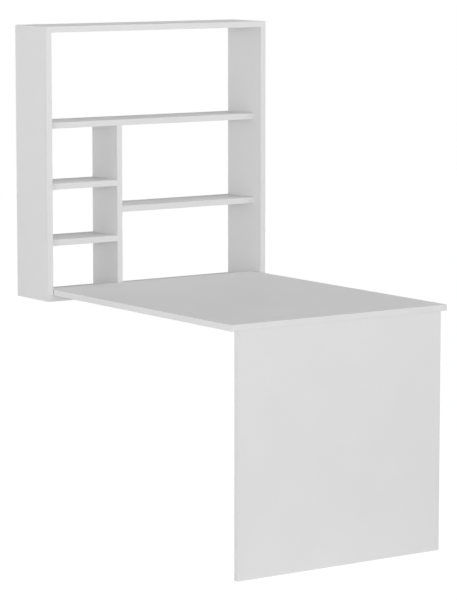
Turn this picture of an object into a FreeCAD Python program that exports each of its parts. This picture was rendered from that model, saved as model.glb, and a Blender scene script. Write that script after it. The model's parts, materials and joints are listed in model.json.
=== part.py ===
import FreeCAD, Part
import math
import os

# Wall-mounted desk: an open shelf cabinet hung on a wall, a long desktop seated on the cabinet's
# bottom board, and a panel leg under the far end of the desktop. All sizes are millimetres.
# Origin: centre of the four hanger holes, on the wall plane. X right, Y into the wall, Z up.

# Cabinet
cabinet_width = 800.0
cabinet_height = 824.0
cabinet_depth = 180.0
foot_height = 686.0           # underside of the cabinet above the floor
board = 18.0                  # thickness of every board
shelf_setback = 38.0          # shelves and divider stop short of the cabinet's front by this
left_bay_width = 254.0        # clear width of the small bays beside the divider
long_shelf_level = 517.0      # underside of each shelf above the underside of the cabinet
upper_shelf_level = 333.0
lower_shelf_level = 163.0
right_shelf_level = 252.0

# Desk
desk_reach = 932.0            # front edge of the desktop ahead of the cabinet's front
desk_side_gap = 2.0           # desktop to each side panel
desk_rear_gap = 0.5           # desktop to the divider's front edge
leg_inset = 22.0              # each end of the leg inside the desktop's sides

# Edging strips glued to the board edges that show
edging = 1.0
edging_round = 0.7

# Fits
fit = 0.1                     # radial clearance of dowels, bolts, screws and cams in their holes
end_room = 1.0                # spare depth at the end of a blind hole
overrun = 2.0                 # cutters run past the faces they open

# Cam joint: a zinc cam in the held board draws in a steel bolt that is screwed into the carrier
cam_radius = 7.5
cam_beyond_axis = 4.6         # cam body past the bolt's axis
cam_sink = 0.3                # cam face below the board's face
cam_setback = 24.0            # cam axis from the end of the held board
cam_chamber_radius = 4.6      # hollow that the bolt's head lies in
cam_chamber_offset = 1.4      # its axis off the cam's own, so that the turning wall draws the head in
cam_slot_width = 1.4          # cross recess for the driver
cam_slot_length = 10.0
cam_slot_depth = 2.2
bolt_bite = 11.0
bolt_thread_radius = 2.5
bolt_collar_radius = 3.5
bolt_collar_length = 2.0
bolt_shaft_radius = 3.0
bolt_neck_radius = 1.9
bolt_neck_lead = 0.6          # neck ahead of the cam's rim
bolt_head_radius = 3.2
bolt_head_chamfer = 0.6
bolt_head_past_axis = 0.5
bolt_channel_radius = 4.0

# Beech dowel
dowel_radius = 4.0
dowel_length = 30.0
dowel_bite = 10.0
dowel_chamfer = 1.0

# Places of the joints along a board's end, as shares of its length
wide_cam_shares = (0.22, 0.78)
wide_dowel_shares = (0.5,)
narrow_cam_shares = (0.3,)
narrow_dowel_shares = (0.7,)
leg_cam_shares = (0.12, 0.5, 0.88)
leg_dowel_shares = (0.05, 0.38, 0.62, 0.95)

# Screws up through the bottom board into the desktop
desk_screw_length = 30.0
desk_screw_radius = 2.0
desk_screw_head_radius = 4.0
desk_screw_head_height = 2.4
desk_screw_shares = (0.1, 0.37, 0.63, 0.9)
desk_screw_depth_share = 0.5  # across the seat of the desktop on the bottom board

# Keyhole plates let into the back edges of the side panels
hanger_inset = 70.0           # keyhole centres from the cabinet's top and underside
hanger_margin = 1.0           # plate inside the board's thickness, each side
hanger_length = 64.0
hanger_thickness = 2.0
hanger_hole_radius = 5.5
hanger_neck_width = 5.0
hanger_neck_rise = 12.0
hanger_pocket_depth = 12.0
hanger_pocket_margin = 0.5
plate_screw_inset = 8.0
plate_screw_length = 16.0
plate_screw_radius = 1.5
plate_screw_head_radius = 3.0
plate_screw_head_height = 1.6

# Steel angles between the leg and the desktop
angle_leg = 45.0
angle_width = 30.0
angle_thickness = 2.5
angle_bend_radius = 2.0
angle_corner_radius = 6.0
angle_hole_shares = (0.42, 0.78)
angle_place_shares = (0.25, 0.75)
angle_screw_length = 14.0
angle_screw_radius = 2.0
angle_screw_head_radius = 3.8
angle_screw_head_height = 2.2
angle_screw_dome = 1.2

# Levels and planes worked out from the sizes above
half_width = cabinet_width / 2
inner_half = half_width - board
cabinet_foot = -cabinet_height / 2
cabinet_top = cabinet_height / 2
floor = cabinet_foot - foot_height
cabinet_front = -cabinet_depth
shelf_front = cabinet_front + shelf_setback
bottom_top = cabinet_foot + board
top_under = cabinet_top - board
divider_left = -inner_half + left_bay_width
divider_right = divider_left + board
long_under = cabinet_foot + long_shelf_level
upper_under = cabinet_foot + upper_shelf_level
lower_under = cabinet_foot + lower_shelf_level
right_under = cabinet_foot + right_shelf_level
desk_half = inner_half - desk_side_gap
desk_rear = shelf_front - desk_rear_gap
desk_front = cabinet_front - desk_reach
desk_under = bottom_top
desk_top = desk_under + board
leg_half = desk_half - leg_inset
leg_rear = desk_front + board
mid = board / 2

right = FreeCAD.Vector(1, 0, 0)
back = FreeCAD.Vector(0, 1, 0)
up = FreeCAD.Vector(0, 0, 1)

boards = {}                   # node name to the board's own solid
cutters = {}                  # node name to the shapes taken out of that board
groups = {}                   # node name to a list of loose solids


def point(x, y, z):
    return FreeCAD.Vector(x, y, z)


def add(node, solid):
    groups.setdefault(node, []).append(solid)


def take_out(node, shape):
    cutters.setdefault(node, []).append(shape)


def box(low, high):
    size = [high[i] - low[i] for i in range(3)]
    return Part.makeBox(*size, FreeCAD.Vector(*low))


def turned(profile):
    """Solid of revolution about X from a list of (place along X, radius) points."""
    corners = [FreeCAD.Vector(x, r, 0) for x, r in profile]
    face = Part.Face(Part.makePolygon(corners + corners[:1]))
    return face.revolve(FreeCAD.Vector(), right, 360)


def rod(radius, start, end):
    return Part.makeCylinder(radius, end - start, right * start, right)


def placed(shape, at, along, face):
    """Turns a fitting's own frame to the object's: its X lies along, its -Z looks out of face."""
    copy = shape.copy()
    inward = face * -1
    copy.Placement = FreeCAD.Placement(at, FreeCAD.Rotation(along, inward.cross(along), inward, "XZY"))
    return copy


# Boards and their edging

def rounded_strip(low, high, axis, outer):
    """Edging strip whose long outer edges are rounded; axis is the direction it faces."""
    strip = box(low, high)
    spans = [high[i] - low[i] if i != axis else 0 for i in range(3)]
    run = spans.index(max(spans))
    edges = []
    for edge in strip.Edges:
        ends = [vertex.Point for vertex in edge.Vertexes]
        on_face = all(abs(end[axis] - outer) < fit for end in ends)
        lengthwise = abs(ends[0][run] - ends[1][run]) > fit
        if on_face and lengthwise:
            edges.append(edge)
    return strip.makeFillet(min(edging_round, edging), edges)


def make_board(node, low, high, edged):
    """Board between two corners; each edged side, such as "-y", carries a strip of edging."""
    low, high = list(low), list(high)
    for side in edged:
        axis = "xyz".index(side[1])
        strip_low, strip_high = list(low), list(high)
        if side[0] == "-":
            outer = low[axis]
            low[axis] += edging
            strip_high[axis] = low[axis]
        else:
            outer = high[axis]
            high[axis] -= edging
            strip_low[axis] = high[axis]
        add(node + "_edging", rounded_strip(strip_low, strip_high, axis, outer))
    boards[node] = box(low, high)


def make_boards():
    for name, x in (("left", -half_width), ("right", inner_half)):
        make_board("side_panel_" + name, (x, cabinet_front, cabinet_foot),
                   (x + board, 0, cabinet_top), ("-y", "+z", "-z"))
    for name, z in (("top_panel", top_under), ("bottom_panel", cabinet_foot)):
        make_board(name, (-inner_half, cabinet_front, z), (inner_half, 0, z + board), ("-y",))
    shelves = (("long_shelf", -inner_half, inner_half, long_under),
               ("upper_left_shelf", -inner_half, divider_left, upper_under),
               ("lower_left_shelf", -inner_half, divider_left, lower_under),
               ("right_shelf", divider_right, inner_half, right_under))
    for name, x0, x1, z in shelves:
        make_board(name, (x0, shelf_front, z), (x1, 0, z + board), ("-y",))
    make_board("divider", (divider_left, shelf_front, bottom_top), (divider_right, 0, long_under), ("-y",))
    make_board("desktop", (-desk_half, desk_front, desk_under), (desk_half, desk_rear, desk_top),
               ("-y", "+y", "-x", "+x"))
    make_board("leg_panel", (-leg_half, desk_front, floor), (leg_half, leg_rear, desk_under), ("-x", "+x"))


# Cam joints and dowels. In a fitting's own frame X runs into the held board from the face of the
# carrier, and the held board's middle plane is Z = 0.

cam_face = -mid + cam_sink
cam_end = cam_beyond_axis
chamber_axis = cam_setback + cam_chamber_offset
bolt_head_end = cam_setback + bolt_head_past_axis
bolt_neck_start = cam_setback - cam_radius - bolt_neck_lead


def at_chamber_wall(radius):
    """Place along the bolt where a ring of this radius comes up to the chamber's wall."""
    return chamber_axis - math.sqrt(cam_chamber_radius ** 2 - radius ** 2) + fit


def cam_lock():
    """Cam turned home. The head went in at the far side, and the neck came round by half a turn."""
    body = Part.makeCylinder(cam_radius, cam_end - cam_face, point(cam_setback, 0, cam_face))
    past_rim = cam_radius + overrun
    neck_radius = bolt_neck_radius + fit
    head_half = bolt_head_radius + 2 * fit
    chamber = Part.makeCylinder(cam_chamber_radius, 2 * head_half, point(chamber_axis, 0, -head_half))
    entry = rod(bolt_head_radius + fit, chamber_axis, cam_setback + past_rim)
    neck_sweep = Part.makeCylinder(past_rim, 2 * neck_radius, point(cam_setback, 0, -neck_radius), up, 180)
    neck_end = rod(neck_radius, cam_setback - past_rim, cam_setback)
    cross = []
    for length, width in ((cam_slot_length, cam_slot_width), (cam_slot_width, cam_slot_length)):
        low = (cam_setback - length / 2, -width / 2, cam_face - overrun)
        high = (cam_setback + length / 2, width / 2, cam_face + cam_slot_depth)
        cross.append(box(low, high))
    return body.cut([chamber, entry, neck_sweep, neck_end] + cross)


def cam_bolt():
    """Bolt whose head has a sloped back that lies along the chamber's wall."""
    back_start, back_end = at_chamber_wall(bolt_neck_radius), at_chamber_wall(bolt_head_radius)
    tip = bolt_head_radius - bolt_head_chamfer
    return turned([(-bolt_bite, 0), (-bolt_bite, bolt_thread_radius), (0, bolt_thread_radius),
                   (0, bolt_collar_radius), (bolt_collar_length, bolt_collar_radius),
                   (bolt_collar_length, bolt_shaft_radius), (bolt_neck_start, bolt_shaft_radius),
                   (bolt_neck_start, bolt_neck_radius), (back_start, bolt_neck_radius),
                   (back_end, bolt_head_radius), (bolt_head_end - bolt_head_chamfer, bolt_head_radius),
                   (bolt_head_end, tip), (bolt_head_end, 0)])


def dowel():
    start, end = -dowel_bite, dowel_length - dowel_bite
    tip = dowel_radius - dowel_chamfer
    return turned([(start, 0), (start, tip), (start + dowel_chamfer, dowel_radius),
                   (end - dowel_chamfer, dowel_radius), (end, tip), (end, 0)])


def cam_joint(held, carrier, at, along, face):
    add("cam_locks_" + held, placed(cam_lock(), at, along, face))
    add("cam_bolts_" + held, placed(cam_bolt(), at, along, face))
    pocket = Part.makeCylinder(cam_radius + fit, cam_end + mid + overrun,
                               point(cam_setback, 0, -mid - overrun))
    channel = rod(bolt_channel_radius, -overrun, cam_setback)
    bite = rod(bolt_thread_radius + fit, -bolt_bite - end_room, overrun)
    take_out(held, placed(pocket.fuse(channel), at, along, face))
    take_out(carrier, placed(bite, at, along, face))


def dowel_joint(held, carrier, at, along, face):
    add("dowels_" + held, placed(dowel(), at, along, face))
    hole = rod(dowel_radius + fit, -dowel_bite - end_room, dowel_length - dowel_bite + end_room)
    for node in (held, carrier):
        take_out(node, placed(hole, at, along, face))


def end_joints(held, carrier, start, run, along, face, cam_shares, dowel_shares):
    """Cams and dowels spread along one end of a board, from start over the vector run."""
    for share in cam_shares:
        cam_joint(held, carrier, start + run * share, along, face)
    for share in dowel_shares:
        dowel_joint(held, carrier, start + run * share, along, face)


def make_joints():
    left_side, right_side = "side_panel_left", "side_panel_right"
    wide = (wide_cam_shares, wide_dowel_shares)
    narrow = (narrow_cam_shares, narrow_dowel_shares)
    deep = back * cabinet_depth
    shallow = back * -shelf_front
    level_boards = (
        ("top_panel", left_side, right_side, -inner_half, inner_half, top_under, deep, wide),
        ("bottom_panel", left_side, right_side, -inner_half, inner_half, cabinet_foot, deep, wide),
        ("long_shelf", left_side, right_side, -inner_half, inner_half, long_under, shallow, wide),
        ("upper_left_shelf", left_side, "divider", -inner_half, divider_left, upper_under, shallow, narrow),
        ("lower_left_shelf", left_side, "divider", -inner_half, divider_left, lower_under, shallow, narrow),
        ("right_shelf", "divider", right_side, divider_right, inner_half, right_under, shallow, narrow))
    for held, first, second, x0, x1, under, run, shares in level_boards:
        start_y = -run.Length
        end_joints(held, first, point(x0, start_y, under + mid), run, right, up * -1, *shares)
        end_joints(held, second, point(x1, start_y, under + mid), run, right * -1, up * -1, *shares)
    x = divider_left + mid
    end_joints("divider", "bottom_panel", point(x, shelf_front, bottom_top), shallow, up, right, *narrow)
    end_joints("divider", "long_shelf", point(x, shelf_front, long_under), shallow, up * -1, right, *narrow)
    end_joints("leg_panel", "desktop", point(-leg_half, desk_front + mid, desk_under),
               right * (2 * leg_half), up * -1, back, leg_cam_shares, leg_dowel_shares)


# Screws: each lies along X in its own frame, with its head's seat at X = 0

def countersunk_screw(length, radius, head_radius, head_height, grow=0):
    tip = length - radius * 2
    return turned([(-grow, 0), (-grow, head_radius + grow), (head_height, radius + grow),
                   (tip, radius + grow), (length + grow, grow), (length + grow, 0)])


def pan_screw(length, radius, head_radius, head_height, dome):
    flat = head_radius - dome
    tip = length - radius * 2
    return turned([(-head_height, 0), (-head_height, flat), (dome - head_height, head_radius),
                   (0, head_radius), (0, radius), (tip, radius), (length, 0)])


def make_desk_screws():
    size = (desk_screw_length, desk_screw_radius, desk_screw_head_radius, desk_screw_head_height)
    y = cabinet_front + (desk_rear - cabinet_front) * desk_screw_depth_share
    for share in desk_screw_shares:
        at = point(-desk_half + 2 * desk_half * share, y, cabinet_foot)
        add("desktop_screws", placed(countersunk_screw(*size), at, up, back))
        hole = placed(countersunk_screw(*size, fit), at, up, back)
        for node in ("bottom_panel", "desktop"):
            take_out(node, hole)


# Keyhole plates

def upright_slot(width, low, high, thickness):
    """Plate with round ends standing in the XZ plane, its back on Y = 0 and its body at -Y."""
    radius = width / 2
    bar = box((-radius, -thickness, low), (radius, 0, high))
    ends = [Part.makeCylinder(radius, thickness, point(0, -thickness, z), back) for z in (low, high)]
    return bar.fuse(ends).removeSplitter()


def make_hangers():
    width = board - 2 * hanger_margin
    reach = (hanger_length - width) / 2
    size = (plate_screw_length, plate_screw_radius, plate_screw_head_radius, plate_screw_head_height)
    hole = Part.makeCylinder(hanger_hole_radius, hanger_thickness + 2 * overrun,
                             point(0, -hanger_thickness - overrun, 0), back)
    neck = upright_slot(hanger_neck_width, 0, hanger_neck_rise, hanger_thickness + overrun)
    plate = upright_slot(width, -reach, reach, hanger_thickness)
    recess = upright_slot(width + 2 * fit, -reach, reach, hanger_thickness)
    pocket_width = 2 * (hanger_hole_radius + hanger_pocket_margin)
    pocket = upright_slot(pocket_width, 0, hanger_neck_rise, hanger_pocket_depth)
    screws, screw_holes = [], []
    for sign in (-1, 1):
        at = point(0, 0, sign * (hanger_length / 2 - plate_screw_inset))
        screws.append(placed(countersunk_screw(*size), at, back * -1, up))
        screw_holes.append(placed(countersunk_screw(*size, fit), at, back * -1, up))
    plate = plate.cut([hole, neck] + screw_holes)
    for side, x in (("side_panel_left", -half_width + mid), ("side_panel_right", half_width - mid)):
        for z in (cabinet_foot + hanger_inset, cabinet_top - hanger_inset):
            at = point(x, 0, z)
            add("hanger_plates", plate.translated(at))
            for screw in screws:
                add("hanger_plate_screws", screw.translated(at))
            for shape in [recess, pocket] + screw_holes:
                take_out(side, shape.translated(at))


# Steel angles under the desktop, behind the leg

def steel_angle():
    """Angle with its outer corner at the origin: one flange along +Y, the other along -Z."""
    half = angle_width / 2
    flat = box((-half, 0, -angle_thickness), (half, angle_leg, 0))
    tall = box((-half, 0, -angle_leg), (half, angle_thickness, 0))
    angle = flat.fuse(tall).removeSplitter()
    bends = {0: angle_bend_radius + angle_thickness, angle_thickness: angle_bend_radius}
    for offset, radius in bends.items():
        along_x = [e for e in angle.Edges if len(e.Vertexes) == 2
                   and all(abs(v.Y - offset) < fit and abs(v.Z + offset) < fit for v in e.Vertexes)]
        angle = angle.makeFillet(radius, along_x)
    tips = [e for e in angle.Edges if len(e.Vertexes) == 2
            and (all(abs(v.Y - angle_leg) < fit for v in e.Vertexes)
                 or all(abs(v.Z + angle_leg) < fit for v in e.Vertexes))
            and abs(e.Vertexes[0].X - e.Vertexes[1].X) < fit]
    return angle.makeFillet(angle_corner_radius, tips)


def make_angles():
    size = (angle_screw_length, angle_screw_radius, angle_screw_head_radius, angle_screw_head_height)
    for share in angle_place_shares:
        corner = point(-leg_half + 2 * leg_half * share, leg_rear, desk_under)
        angle = steel_angle().translated(corner)
        for hole_share in angle_hole_shares:
            step = angle_leg * hole_share
            spots = (("desktop", corner + point(0, step, -angle_thickness), up, back),
                     ("leg_panel", corner + point(0, angle_thickness, -step), back * -1, up))
            for node, at, along, face in spots:
                add("angle_screws", placed(pan_screw(*size, angle_screw_dome), at, along, face))
                hole = placed(rod(angle_screw_radius + fit, -overrun, angle_screw_length + end_room),
                              at, along, face)
                take_out(node, hole)
                angle = angle.cut(hole)
        add("steel_angles", angle)


def write_parts():
    os.makedirs("parts", exist_ok=True)
    for node, solid in boards.items():
        groups[node] = solid.cut(cutters[node]).Solids if node in cutters else [solid]
    for node, solids in sorted(groups.items()):
        solids = [piece for shape in solids for piece in shape.Solids]
        shape = solids[0] if len(solids) == 1 else Part.makeCompound(solids)
        shape.exportStep("parts/" + node + ".step")
        volume = sum(piece.Volume for piece in solids)
        state = "valid" if shape.isValid() else "NOT VALID"
        print(node, len(solids), "solids", round(volume), "mm3", state)


make_boards()
make_joints()
make_desk_screws()
make_hangers()
make_angles()
write_parts()
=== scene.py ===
import json
import math

import bpy
import numpy as np
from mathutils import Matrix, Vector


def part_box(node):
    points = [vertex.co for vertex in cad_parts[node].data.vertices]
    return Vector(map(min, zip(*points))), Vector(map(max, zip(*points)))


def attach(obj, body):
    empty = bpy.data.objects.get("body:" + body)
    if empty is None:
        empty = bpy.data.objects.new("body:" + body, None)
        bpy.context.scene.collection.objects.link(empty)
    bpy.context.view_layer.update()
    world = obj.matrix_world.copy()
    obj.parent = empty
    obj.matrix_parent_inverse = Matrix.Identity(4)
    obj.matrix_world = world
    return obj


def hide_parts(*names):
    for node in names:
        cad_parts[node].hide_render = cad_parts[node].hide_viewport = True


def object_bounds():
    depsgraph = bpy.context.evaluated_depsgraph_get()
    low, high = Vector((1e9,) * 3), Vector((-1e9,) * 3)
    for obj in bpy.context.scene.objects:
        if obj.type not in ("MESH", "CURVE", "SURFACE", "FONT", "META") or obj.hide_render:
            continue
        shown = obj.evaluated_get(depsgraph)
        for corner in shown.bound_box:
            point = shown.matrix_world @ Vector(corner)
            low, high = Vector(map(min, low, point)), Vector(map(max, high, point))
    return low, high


# Wall-mounted desk: open shelf cabinet, long desktop on its bottom board, panel leg at the far end.
# Metres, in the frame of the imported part: X right, Y into the wall, Z up.

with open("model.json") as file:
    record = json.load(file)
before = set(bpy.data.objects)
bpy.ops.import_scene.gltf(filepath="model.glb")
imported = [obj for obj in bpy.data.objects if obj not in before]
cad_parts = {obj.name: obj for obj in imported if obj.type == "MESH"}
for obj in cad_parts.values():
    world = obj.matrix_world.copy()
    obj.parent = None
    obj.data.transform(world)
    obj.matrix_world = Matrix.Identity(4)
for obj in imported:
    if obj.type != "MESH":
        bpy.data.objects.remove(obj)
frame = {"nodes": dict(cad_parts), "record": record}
nodes = frame["nodes"]
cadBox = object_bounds()
slotOf = {row["node"]: row["material_slot"] for row in frame["record"]["subparts"]}
print("frame loaded:", len(nodes), "nodes")


def nodesIn(slotName):
    return sorted(name for name in nodes if slotOf[name] == slotName)


# Node building

def wire(tree, kind, inputs=None, **settings):
    # one shader node; inputs are plain values or the sockets that feed it
    node = tree.nodes.new("ShaderNode" + kind)
    for key, value in settings.items():
        setattr(node, key, value)
    for key, value in (inputs or {}).items():
        if isinstance(value, bpy.types.NodeSocket):
            tree.links.new(value, node.inputs[key])
        else:
            node.inputs[key].default_value = value
    return node


def maths(tree, operation, first, second=0.0):
    return wire(tree, "Math", {0: first, 1: second}, operation=operation).outputs[0]


def remap(tree, value, low, high, start=0.0, end=1.0):
    # carries start..end to low..high
    ends = {"From Min": start, "From Max": end, "To Min": low, "To Max": high}
    return wire(tree, "MapRange", {"Value": value, **ends}).outputs[0]


def blendValues(tree, share, first, second):
    # inputs 2 and 3 of a Mix node are its plain numbers
    return wire(tree, "Mix", {"Factor": share, 2: first, 3: second}).outputs[0]


def blendColours(tree, share, first, second):
    # inputs 6 and 7 and output 2 of a Mix node are its colours
    pair = [value if isinstance(value, bpy.types.NodeSocket) else (*value, 1.0) for value in (first, second)]
    return wire(tree, "Mix", {"Factor": share, 6: pair[0], 7: pair[1]}, data_type="RGBA").outputs[2]


def noise(tree, place, size=1.0, octaves=2.0, keep=0.5):
    # clouds of about this size; each finer octave keeps a share of the one before
    inputs = {"Vector": place, "Scale": 1 / size, "Detail": octaves, "Roughness": keep}
    return wire(tree, "TexNoise", inputs).outputs[0]


def stretched(tree, place, axis, along, across):
    # the place in units of one length along an axis and another across it, for streaks, chips and flecks
    scale = [1 / across] * 3
    scale[axis] = 1 / along
    return wire(tree, "Mapping", {"Vector": place, "Scale": scale}).outputs[0]


def startMaterial(name):
    material = bpy.data.materials.new(name)
    material.use_nodes = True
    tree = material.node_tree
    place = wire(tree, "TexCoord").outputs["Object"]
    return material, tree, tree.nodes["Principled BSDF"], place


def feed(tree, shader, colour, roughness, height):
    # colour, roughness and a height in metres into the shader
    bump = wire(tree, "Bump", {"Height": height, "Distance": 1.0, "Strength": 1.0})
    tree.links.new(colour, shader.inputs["Base Color"])
    tree.links.new(roughness, shader.inputs["Roughness"])
    tree.links.new(bump.outputs[0], shader.inputs["Normal"])


def dress(name, material):
    data = nodes[name].data
    data.materials.clear()
    data.materials.append(material)


# White melamine board with a chip core

melamine = {
    "paleWhite": (0.840, 0.840, 0.840),
    "dimWhite": (0.770, 0.770, 0.772),
    "cloudSize": 0.16,              # drifts of tone over the sheet
    "pearlSize": 0.0021,            # grains of the satin press texture
    "pearlOctaves": (3.0, 0.55),    # how many, and the share that each keeps
    "pearlShare": 0.5,              # the grains' part in the tone
    "pearlHeight": 0.00009,
    "roughness": (0.52, 0.66),
    "gloss": 0.06,                  # specular level, where a plain plastic has 0.5
    "foil": 0.00016,                # face foil; deeper than this the core shows
}
chipCore = {
    "chipLong": 0.0052,             # coarse chips of the middle layer, along the board
    "chipThin": 0.0013,             # and through its thickness
    "dustSize": 0.0007,
    "dustOctaves": (4.0, 0.65),
    "fineDepth": 0.0035,            # fine dust layers under the two faces
    "coarseShares": (0.62, 0.12),   # the chips' part in the tone below those layers, and at the faces
    "darkChip": (0.45, 0.32, 0.19),
    "paleChip": (0.80, 0.67, 0.50),
    "chipHeight": 0.00016,
    "roughness": 0.92,
}


def thicknessAxis(name):
    # the axis along which a board is thinnest, its middle there and half its thickness
    low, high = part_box(name)
    spans = [high[i] - low[i] for i in range(3)]
    axis = spans.index(min(spans))
    return axis, (low[axis] + high[axis]) / 2, spans[axis] / 2


def facedBoard(name):
    # foil on the two faces, chips wherever a point lies deeper than the foil, as in a bore or a raw edge
    material, tree, shader, place = startMaterial("melamine_" + name)
    axis, middle, half = thicknessAxis(name)
    along = wire(tree, "SeparateXYZ", {0: place}).outputs[axis]
    fromMiddle = maths(tree, "ABSOLUTE", maths(tree, "SUBTRACT", along, middle))
    inCore = maths(tree, "LESS_THAN", fromMiddle, half - melamine["foil"])

    cloud = noise(tree, place, melamine["cloudSize"])
    pearl = noise(tree, place, melamine["pearlSize"], *melamine["pearlOctaves"])
    drift = blendValues(tree, melamine["pearlShare"], cloud, pearl)
    white = blendColours(tree, drift, melamine["dimWhite"], melamine["paleWhite"])
    sheen = remap(tree, pearl, *melamine["roughness"])

    flat = stretched(tree, place, axis, chipCore["chipThin"], chipCore["chipLong"])
    cells = wire(tree, "TexVoronoi", {"Vector": flat, "Scale": 1.0})
    chipTone = wire(tree, "SeparateColor", {0: cells.outputs["Color"]}).outputs[0]
    dust = noise(tree, place, chipCore["dustSize"], *chipCore["dustOctaves"])
    coarseness = remap(tree, fromMiddle, *chipCore["coarseShares"], half - chipCore["fineDepth"], half)
    tone = blendValues(tree, coarseness, dust, chipTone)
    chips = blendColours(tree, tone, chipCore["darkChip"], chipCore["paleChip"])

    colour = blendColours(tree, inCore, white, chips)
    roughness = blendValues(tree, inCore, sheen, chipCore["roughness"])
    foilHeight = maths(tree, "MULTIPLY", pearl, melamine["pearlHeight"])
    chipHeight = maths(tree, "MULTIPLY", tone, chipCore["chipHeight"])
    feed(tree, shader, colour, roughness, blendValues(tree, inCore, foilHeight, chipHeight))
    shader.inputs["Specular IOR Level"].default_value = melamine["gloss"]
    return material


for board in nodesIn("white_board"):
    dress(board, facedBoard(board))
print("boards faced:", len(nodesIn("white_board")))

# White edging strips

edging = {
    "paleWhite": (0.815, 0.815, 0.815),
    "dimWhite": (0.795, 0.795, 0.796),
    "cloudSize": 0.09,
    "streakSize": 0.0005,           # draw lines of the extruded strip, across its width
    "streakRun": 0.05,
    "streakOctaves": 3.0,
    "streakHeight": 0.00003,
    "roughness": (0.48, 0.62),
    "gloss": 0.06,
}


def edgingStrip(name):
    # fine lines run along each strip, so the pattern is tight only across the board's thickness
    material, tree, shader, place = startMaterial("edging_" + name)
    axis = thicknessAxis(name.removesuffix("_edging"))[0]
    drawn = stretched(tree, place, axis, edging["streakSize"], edging["streakRun"])
    lines = noise(tree, drawn, octaves=edging["streakOctaves"])
    cloud = noise(tree, place, edging["cloudSize"])
    colour = blendColours(tree, cloud, edging["dimWhite"], edging["paleWhite"])
    feed(tree, shader, colour, remap(tree, lines, *edging["roughness"]),
         maths(tree, "MULTIPLY", lines, edging["streakHeight"]))
    shader.inputs["Specular IOR Level"].default_value = edging["gloss"]
    return material


for strip in nodesIn("white_edging"):
    dress(strip, edgingStrip(strip))
print("edging dressed:", len(nodesIn("white_edging")))

# Metals

dullZinc = {"dark": (0.36, 0.37, 0.39), "pale": (0.56, 0.57, 0.59), "mottle": 0.0016, "grain": 0.0004,
            "height": 0.00003, "roughness": (0.38, 0.62)}
plating = {"dark": (0.50, 0.51, 0.55), "pale": (0.70, 0.70, 0.69), "mottle": 0.0035, "grain": 0.0003,
           "height": 0.000006, "roughness": (0.20, 0.38)}
pressedSteel = {"dark": (0.31, 0.32, 0.34), "pale": (0.50, 0.50, 0.51), "mottle": 0.010, "grain": 0.0006,
                "height": 0.00001, "roughness": (0.26, 0.46)}
metalPattern = {
    "mottleOctaves": (4.0, 0.6),
    "grainShare": 0.5,              # the grain's part in the roughness, next to the mottle's
}


def metal(name, finish):
    # clouds of tone over a fine grain, which also breaks up the gloss
    material, tree, shader, place = startMaterial(name)
    cloud = noise(tree, place, finish["mottle"], *metalPattern["mottleOctaves"])
    grain = noise(tree, place, finish["grain"])
    colour = blendColours(tree, cloud, finish["dark"], finish["pale"])
    gloss = blendValues(tree, metalPattern["grainShare"], cloud, grain)
    feed(tree, shader, colour, remap(tree, gloss, *finish["roughness"]),
         maths(tree, "MULTIPLY", grain, finish["height"]))
    shader.inputs["Metallic"].default_value = 1.0
    return material


castMetal = metal("dull_zinc", dullZinc)
platedMetal = metal("zinc_plating", plating)
sheetMetal = metal("pressed_steel", pressedSteel)
for cam in nodesIn("zinc_cam"):
    dress(cam, castMetal)
for bracket in nodesIn("bracket_steel"):
    dress(bracket, sheetMetal)
print("cams and brackets dressed:", len(nodesIn("zinc_cam") + nodesIn("bracket_steel")))

# Beech of the dowels

beech = {
    "pale": (0.66, 0.46, 0.29),
    "dark": (0.40, 0.24, 0.13),
    "fleckLength": 0.004,
    "fleckWidth": 0.0004,
    "fleckOctaves": (2.0, 0.6),
    "height": 0.00004,
    "roughness": (0.55, 0.75),
}


def beechAlong(axis):
    # short dark flecks drawn out along the dowel
    material, tree, shader, place = startMaterial("beech_" + "xyz"[axis])
    grain = stretched(tree, place, axis, beech["fleckLength"], beech["fleckWidth"])
    fleck = noise(tree, grain, 1.0, *beech["fleckOctaves"])
    colour = blendColours(tree, fleck, beech["dark"], beech["pale"])
    feed(tree, shader, colour, remap(tree, fleck, *beech["roughness"]),
         maths(tree, "MULTIPLY", fleck, beech["height"]))
    return material


levelBeech, uprightBeech = beechAlong(0), beechAlong(2)
print("beech ready, level and upright")

# Screws, bolts and dowels: turned surfaces with threads, cross recesses and flutes

turning = {
    "angles": 40,                   # points on a ring
    "fine": 0.00025,                # longest step between the rings of a screw or bolt
    "coarse": 0.0012,               # and of a dowel
    "poleRing": 0.0001,             # radius of the smallest ring, which a fan closes
    "mergeDigits": 6,               # corners that agree to this decimal are one corner
    "widestShare": 0.99,            # corners beyond this share of the largest radius are the widest ring
    "crispDegrees": 35,             # edges that turn more than this stay crisp
}
angles = np.linspace(0, 2 * np.pi, turning["angles"], endpoint=False)


def looseParts(name):
    # corner points of each separate solid in a node
    data = nodes[name].data
    corners = np.empty(len(data.vertices) * 3, np.float32)
    data.vertices.foreach_get("co", corners)
    loops = np.empty(len(data.loops), np.int32)
    data.loops.foreach_get("vertex_index", loops)
    rounded = corners.reshape(-1, 3).round(turning["mergeDigits"])
    points, where = np.unique(rounded, axis=0, return_inverse=True)
    triangles = where.reshape(-1)[loops].reshape(-1, 3)
    label = np.arange(len(points))
    while True:                     # each triangle's lowest label spreads over it until nothing changes
        spread = label.copy()
        np.minimum.at(spread, triangles.ravel(), np.repeat(label[triangles].min(1), 3))
        if np.array_equal(spread, label):
            return [points[label == one] for one in np.unique(label)]
        label = spread


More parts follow.
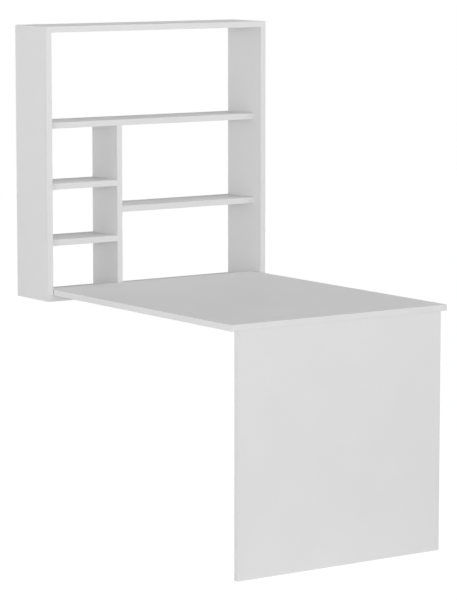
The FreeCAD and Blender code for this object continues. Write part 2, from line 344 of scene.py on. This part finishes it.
def fittingFrame(points):
    # a turned solid's end nearest its widest ring, and three axes: along it and two across
    lowest, highest = points.min(0), points.max(0)
    axis = int(np.argmax(highest - lowest))
    centre = (lowest + highest) / 2
    reach = np.linalg.norm(np.delete(points - centre, axis, 1), axis=1)
    widest = points[reach > turning["widestShare"] * reach.max(), axis].mean()
    axes = np.roll(np.eye(3), -axis, axis=0)
    if widest > centre[axis]:
        axes = axes * [[-1], [-1], [1]]
    return centre - axes[0] * (highest - lowest)[axis] / 2, axes


def closedRings(rings, firstPole, lastPole):
    # rings of points joined to a tube, and each end closed by a fan to its pole
    count, steps = rings.shape[:2]
    index = np.arange(count * steps).reshape(count, steps)
    ahead = np.roll(index, -1, axis=1)
    quads = np.stack([index[:-1], ahead[:-1], ahead[1:], index[1:]], -1).reshape(-1, 4)
    first, last = count * steps, count * steps + 1
    fanIn = np.stack([np.full(steps, first), ahead[0], index[0]], -1)
    fanOut = np.stack([np.full(steps, last), index[-1], ahead[-1]], -1)
    points = np.concatenate([rings.reshape(-1, 3), [firstPole, lastPole]])
    return points, quads, np.concatenate([fanIn, fanOut])


def turnedFitting(points, along, radius):
    # arrays of rings by angles: along runs from the solid's start down its axis, radius turns round the axis
    start, axes = fittingFrame(points)
    place = np.stack([along, radius * np.cos(angles), radius * np.sin(angles)], -1)
    poles = [start + along[end].mean() * axes[0] for end in (0, -1)]
    return closedRings(start + place @ axes, *poles)


def makeFittings(pieceName, node, shape, material):
    # the same shape on each solid of a node, as one piece that stands for the node
    points, faces, offset = [], [], 0
    for part in looseParts(node):
        corners, quads, fans = turnedFitting(part, *shape)
        points.append(corners)
        faces += (quads + offset).tolist() + (fans + offset).tolist()
        offset += len(corners)
    mesh = bpy.data.meshes.new(pieceName)
    mesh.from_pydata(np.concatenate(points).tolist(), [], faces)
    mesh.polygons.foreach_set("use_smooth", np.ones(len(mesh.polygons), bool))
    mesh.set_sharp_from_angle(angle=math.radians(turning["crispDegrees"]))
    mesh.materials.append(material)
    piece = bpy.data.objects.new(pieceName, mesh)
    bpy.context.scene.collection.objects.link(piece)
    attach(piece, "root")
    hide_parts(node)


def crossRecess(radius, size):
    # how deep two crossed arms are sunk: sloped walls, a flat floor, and 0 outside the arms
    def inside(limit, distance):
        return np.clip((limit - distance) / size["slope"], 0, 1)

    x, y = np.abs(radius * np.cos(angles)), np.abs(radius * np.sin(angles))
    upright = inside(size["armHalf"], x) * inside(size["armReach"], y)
    level = inside(size["armHalf"], y) * inside(size["armReach"], x)
    return size["depth"] * np.maximum(upright, level)


def threadRipple(along, thread):
    # share of the full radius: a ridge that climbs one pitch each turn over a thinner core
    phase = (along / thread["pitch"] - angles / (2 * np.pi)) % 1
    ridge = np.clip(1 - np.abs(phase - 0.5) / thread["ridgeShare"], 0, 1)
    inside = np.clip((along - thread["start"]) / thread["pitch"], 0, 1) * (along < thread["end"])
    return 1 - inside * (1 - thread["coreShare"]) * (1 - ridge)


def spacedRings(corners, gap):
    # along and radius down a broken line, each stretch cut into equal steps no longer than the gap
    corners = np.array(corners)
    stretches = [corners[:1]]
    for first, second in zip(corners[:-1], corners[1:]):
        count = math.ceil(np.linalg.norm(second - first) / gap)
        share = np.linspace(0, 1, count + 1)[1:, None]
        stretches.append(first + (second - first) * share)
    return np.concatenate(stretches).T[..., None] + 0 * angles


deskScrew = {
    "headRadius": 0.0040, "headHeight": 0.0024, "dome": 0.0,
    "shank": 0.0020, "length": 0.0300, "tip": 0.0040,
    "recess": {"armHalf": 0.0006, "armReach": 0.0024, "slope": 0.0004, "depth": 0.0016},
    "thread": {"start": 0.0110, "end": 0.0300, "pitch": 0.0018, "ridgeShare": 0.42, "coreShare": 0.66},
}
plateScrew = {
    "headRadius": 0.0030, "headHeight": 0.0016, "dome": 0.0,
    "shank": 0.0015, "length": 0.0160, "tip": 0.0030,
    "recess": {"armHalf": 0.0005, "armReach": 0.0018, "slope": 0.0003, "depth": 0.0011},
    "thread": {"start": 0.0030, "end": 0.0160, "pitch": 0.0013, "ridgeShare": 0.42, "coreShare": 0.66},
}
angleScrew = {
    "headRadius": 0.0038, "headHeight": 0.0022, "dome": 0.0012,
    "shoulder": (0.35, 0.6),        # shares of the dome, down and outwards, where its curve is broken
    "shank": 0.0020, "length": 0.0162, "tip": 0.0040,
    "recess": {"armHalf": 0.0006, "armReach": 0.0023, "slope": 0.0004, "depth": 0.0015},
    "thread": {"start": 0.0042, "end": 0.0162, "pitch": 0.0017, "ridgeShare": 0.42, "coreShare": 0.66},
}


def screwShape(spec):
    # head face from its middle outwards, down the head, along the shank and to the point
    pole, flat = turning["poleRing"], spec["headRadius"] - spec["dome"]
    corners = [(0, pole), (0, flat)]
    if spec["dome"]:                # pan head: shoulder, rim and flat seat
        down, out = spec["shoulder"]
        corners += [(spec["dome"] * down, flat + spec["dome"] * out), (spec["dome"], spec["headRadius"]),
                    (spec["headHeight"], spec["headRadius"])]
    corners += [(spec["headHeight"], spec["shank"]), (spec["length"] - spec["tip"], spec["shank"]),
                (spec["length"], pole)]
    along, radius = spacedRings(corners, turning["fine"])
    dent = crossRecess(radius, spec["recess"]) * (along == 0)
    return along + dent, radius * threadRipple(along, spec["thread"])


camBolt = {
    # along from the threaded tip, and radius: thread, collar, shaft, neck and head
    "profile": [(0.0, 0.0016), (0.0009, 0.0025), (0.0110, 0.0025), (0.0112, 0.0035), (0.0128, 0.0035),
                (0.0130, 0.0030), (0.0267, 0.0030), (0.0269, 0.0019), (0.0323, 0.0019), (0.0332, 0.0032),
                (0.0349, 0.0032), (0.0355, 0.0026)],
    "recess": {"armHalf": 0.0006, "armReach": 0.0021, "slope": 0.0004, "depth": 0.0014},
    "thread": {"start": 0.0, "end": 0.0110, "pitch": 0.0026, "ridgeShare": 0.40, "coreShare": 0.72},
}


def boltShape():
    # threaded tip first, then the turned profile, and the head's end face with its recess
    pole, end = turning["poleRing"], camBolt["profile"][-1][0]
    along, radius = spacedRings([(0.0, pole), *camBolt["profile"], (end, pole)], turning["fine"])
    dent = crossRecess(radius, camBolt["recess"]) * (along == end)
    return along - dent, radius * threadRipple(along, camBolt["thread"])


dowelPeg = {
    "radius": 0.0040, "length": 0.0300, "chamfer": 0.0010,
    "flutes": 10, "fluteDepth": 0.00035,
    "fluteFrom": 0.9,               # rings wider than this share of the end face are fluted
    "upright": ("dowels_divider", "dowels_leg_panel"),      # nodes whose dowels stand; the others lie along X
}


def dowelShape():
    # rod with chamfered ends; the square of a raised cosine round it sinks the flutes
    pole, tip, end = turning["poleRing"], dowelPeg["radius"] - dowelPeg["chamfer"], dowelPeg["length"]
    corners = [(0, pole), (0, tip), (dowelPeg["chamfer"], dowelPeg["radius"]),
               (end - dowelPeg["chamfer"], dowelPeg["radius"]), (end, tip), (end, pole)]
    along, radius = spacedRings(corners, turning["coarse"])
    flute = ((1 + np.cos(dowelPeg["flutes"] * angles)) / 2) ** 2 * dowelPeg["fluteDepth"]
    return along, radius - flute * (radius > tip * dowelPeg["fluteFrom"])


for screwNode, screwSpec in (("desktop_screws", deskScrew), ("hanger_plate_screws", plateScrew),
                             ("angle_screws", angleScrew)):
    makeFittings("threaded_" + screwNode, screwNode, screwShape(screwSpec), platedMetal)
for name in sorted(nodes):
    if name.startswith("cam_bolts"):
        makeFittings("threaded_" + name, name, boltShape(), platedMetal)
    if name.startswith("dowels"):
        wood = uprightBeech if name in dowelPeg["upright"] else levelBeech
        makeFittings("fluted_" + name, name, dowelShape(), wood)
print("fittings turned")

# Studio

studio = {
    "sideSky": 0.893,               # even light from the sides, as a share of white
    "topSky": 0.0,                  # it fades to this overhead
    "floorTone": 0.90,
    "floorWhite": 1.08,             # plain white that the camera sees in place of the matt floor
    "whiteShare": 0.9,              # the rest is the floor's own shade, so that it keeps the shadow
    "floorHalf": 9.0,
    "lamps": {
        # name: place, size, and level: what the lamp adds to a white card that faces it at the desk
        "keySoftbox": {"at": (-5.5, -6.5, 0.6), "size": 3.0, "level": 0.257},
        "leftSoftbox": {"at": (-7.0, 0.0, 0.3), "size": 4.0, "level": 0.118},
        "rightSoftbox": {"at": (4.0, -5.5, 6.0), "size": 5.0, "level": 0.199},
        "overheadSoftbox": {"at": (0.0, -2.5, 10.0), "size": 6.0, "level": 0.156},
    },
}
boxLow, boxHigh = cadBox


def whiteRays(tree):
    # 1 for camera, glossy and transmission rays, which see the white ground
    path = wire(tree, "LightPath").outputs
    seen = maths(tree, "ADD", path["Is Camera Ray"], path["Is Glossy Ray"])
    return maths(tree, "MINIMUM", maths(tree, "ADD", seen, path["Is Transmission Ray"]), 1.0)


def makeWorld():
    world = bpy.data.worlds.new("studio")
    world.use_nodes = True
    tree = world.node_tree
    direction = wire(tree, "TexCoord").outputs["Generated"]
    rise = wire(tree, "SeparateXYZ", {0: direction}).outputs[2]
    sky = remap(tree, rise, studio["sideSky"], studio["topSky"])
    level = blendValues(tree, whiteRays(tree), sky, 1.0)
    tree.links.new(level, tree.nodes["Background"].inputs["Strength"])
    tree.nodes["Background"].inputs["Color"].default_value = (1, 1, 1, 1)
    bpy.context.scene.world = world


def makeFloor():
    # flat square at the leg's lower end
    half = studio["floorHalf"]
    across, along = np.meshgrid(np.linspace(-half, half, 2), np.linspace(-half, half, 2))
    points = np.stack([across, along, np.full_like(across, boxLow.z)], -1).reshape(-1, 3)
    mesh = bpy.data.meshes.new("floor")
    mesh.from_pydata(points.tolist(), [], [(0, 1, 3, 2)])
    floor = bpy.data.objects.new("floor", mesh)
    bpy.context.scene.collection.objects.link(floor)
    material = bpy.data.materials.new("pale_floor")
    material.use_nodes = True
    tree = material.node_tree
    tree.nodes.remove(tree.nodes["Principled BSDF"])
    matt = wire(tree, "BsdfDiffuse", {"Color": (*[studio["floorTone"]] * 3, 1)}).outputs[0]
    white = wire(tree, "Emission", {"Strength": studio["floorWhite"]}).outputs[0]
    share = maths(tree, "MULTIPLY", whiteRays(tree), studio["whiteShare"])
    ground = wire(tree, "MixShader", {0: share, 1: matt, 2: white}).outputs[0]
    tree.links.new(ground, tree.nodes["Material Output"].inputs["Surface"])
    mesh.materials.append(material)


def makeLamp(name, spec):
    # power for the wanted level: a lamp of P watts at distance d gives a facing card P / (pi d)^2
    data = bpy.data.lights.new(name, "AREA")
    data.shape = "DISK"
    data.size = spec["size"]
    lamp = bpy.data.objects.new(name, data)
    lamp.location = spec["at"]
    toDesk = (boxLow + boxHigh) / 2 - lamp.location
    data.energy = spec["level"] * (math.pi * toDesk.length) ** 2
    lamp.rotation_euler = toDesk.to_track_quat("-Z", "Y").to_euler()
    bpy.context.scene.collection.objects.link(lamp)


makeWorld()
makeFloor()
for lampName, lampSpec in studio["lamps"].items():
    makeLamp(lampName, lampSpec)
print("studio lit:", len(studio["lamps"]), "lamps")

# Camera, solved from the straight edges of the photo

camera = {
    "at": (-4.90494, -7.60319, 0.74095),
    "turn": -0.60777,               # to the right of the wall's normal
    "tilt": -0.13154,               # below the horizon
    "lens": 174.687,                # millimetres
    "sensor": 36.0,                 # its longer side, upright in this picture
    "farClip": 100.0,
}
cameraData = bpy.data.cameras.new("camera")
cameraData.lens = camera["lens"]
cameraData.sensor_width = camera["sensor"]
cameraData.clip_end = camera["farClip"]
cameraObject = bpy.data.objects.new("camera", cameraData)
cameraObject.location = camera["at"]
cameraObject.rotation_euler = (math.pi / 2 + camera["tilt"], 0.0, camera["turn"])
bpy.context.scene.collection.objects.link(cameraObject)
bpy.context.scene.camera = cameraObject
bpy.context.scene.view_settings.view_transform = "Standard"
print("camera set")
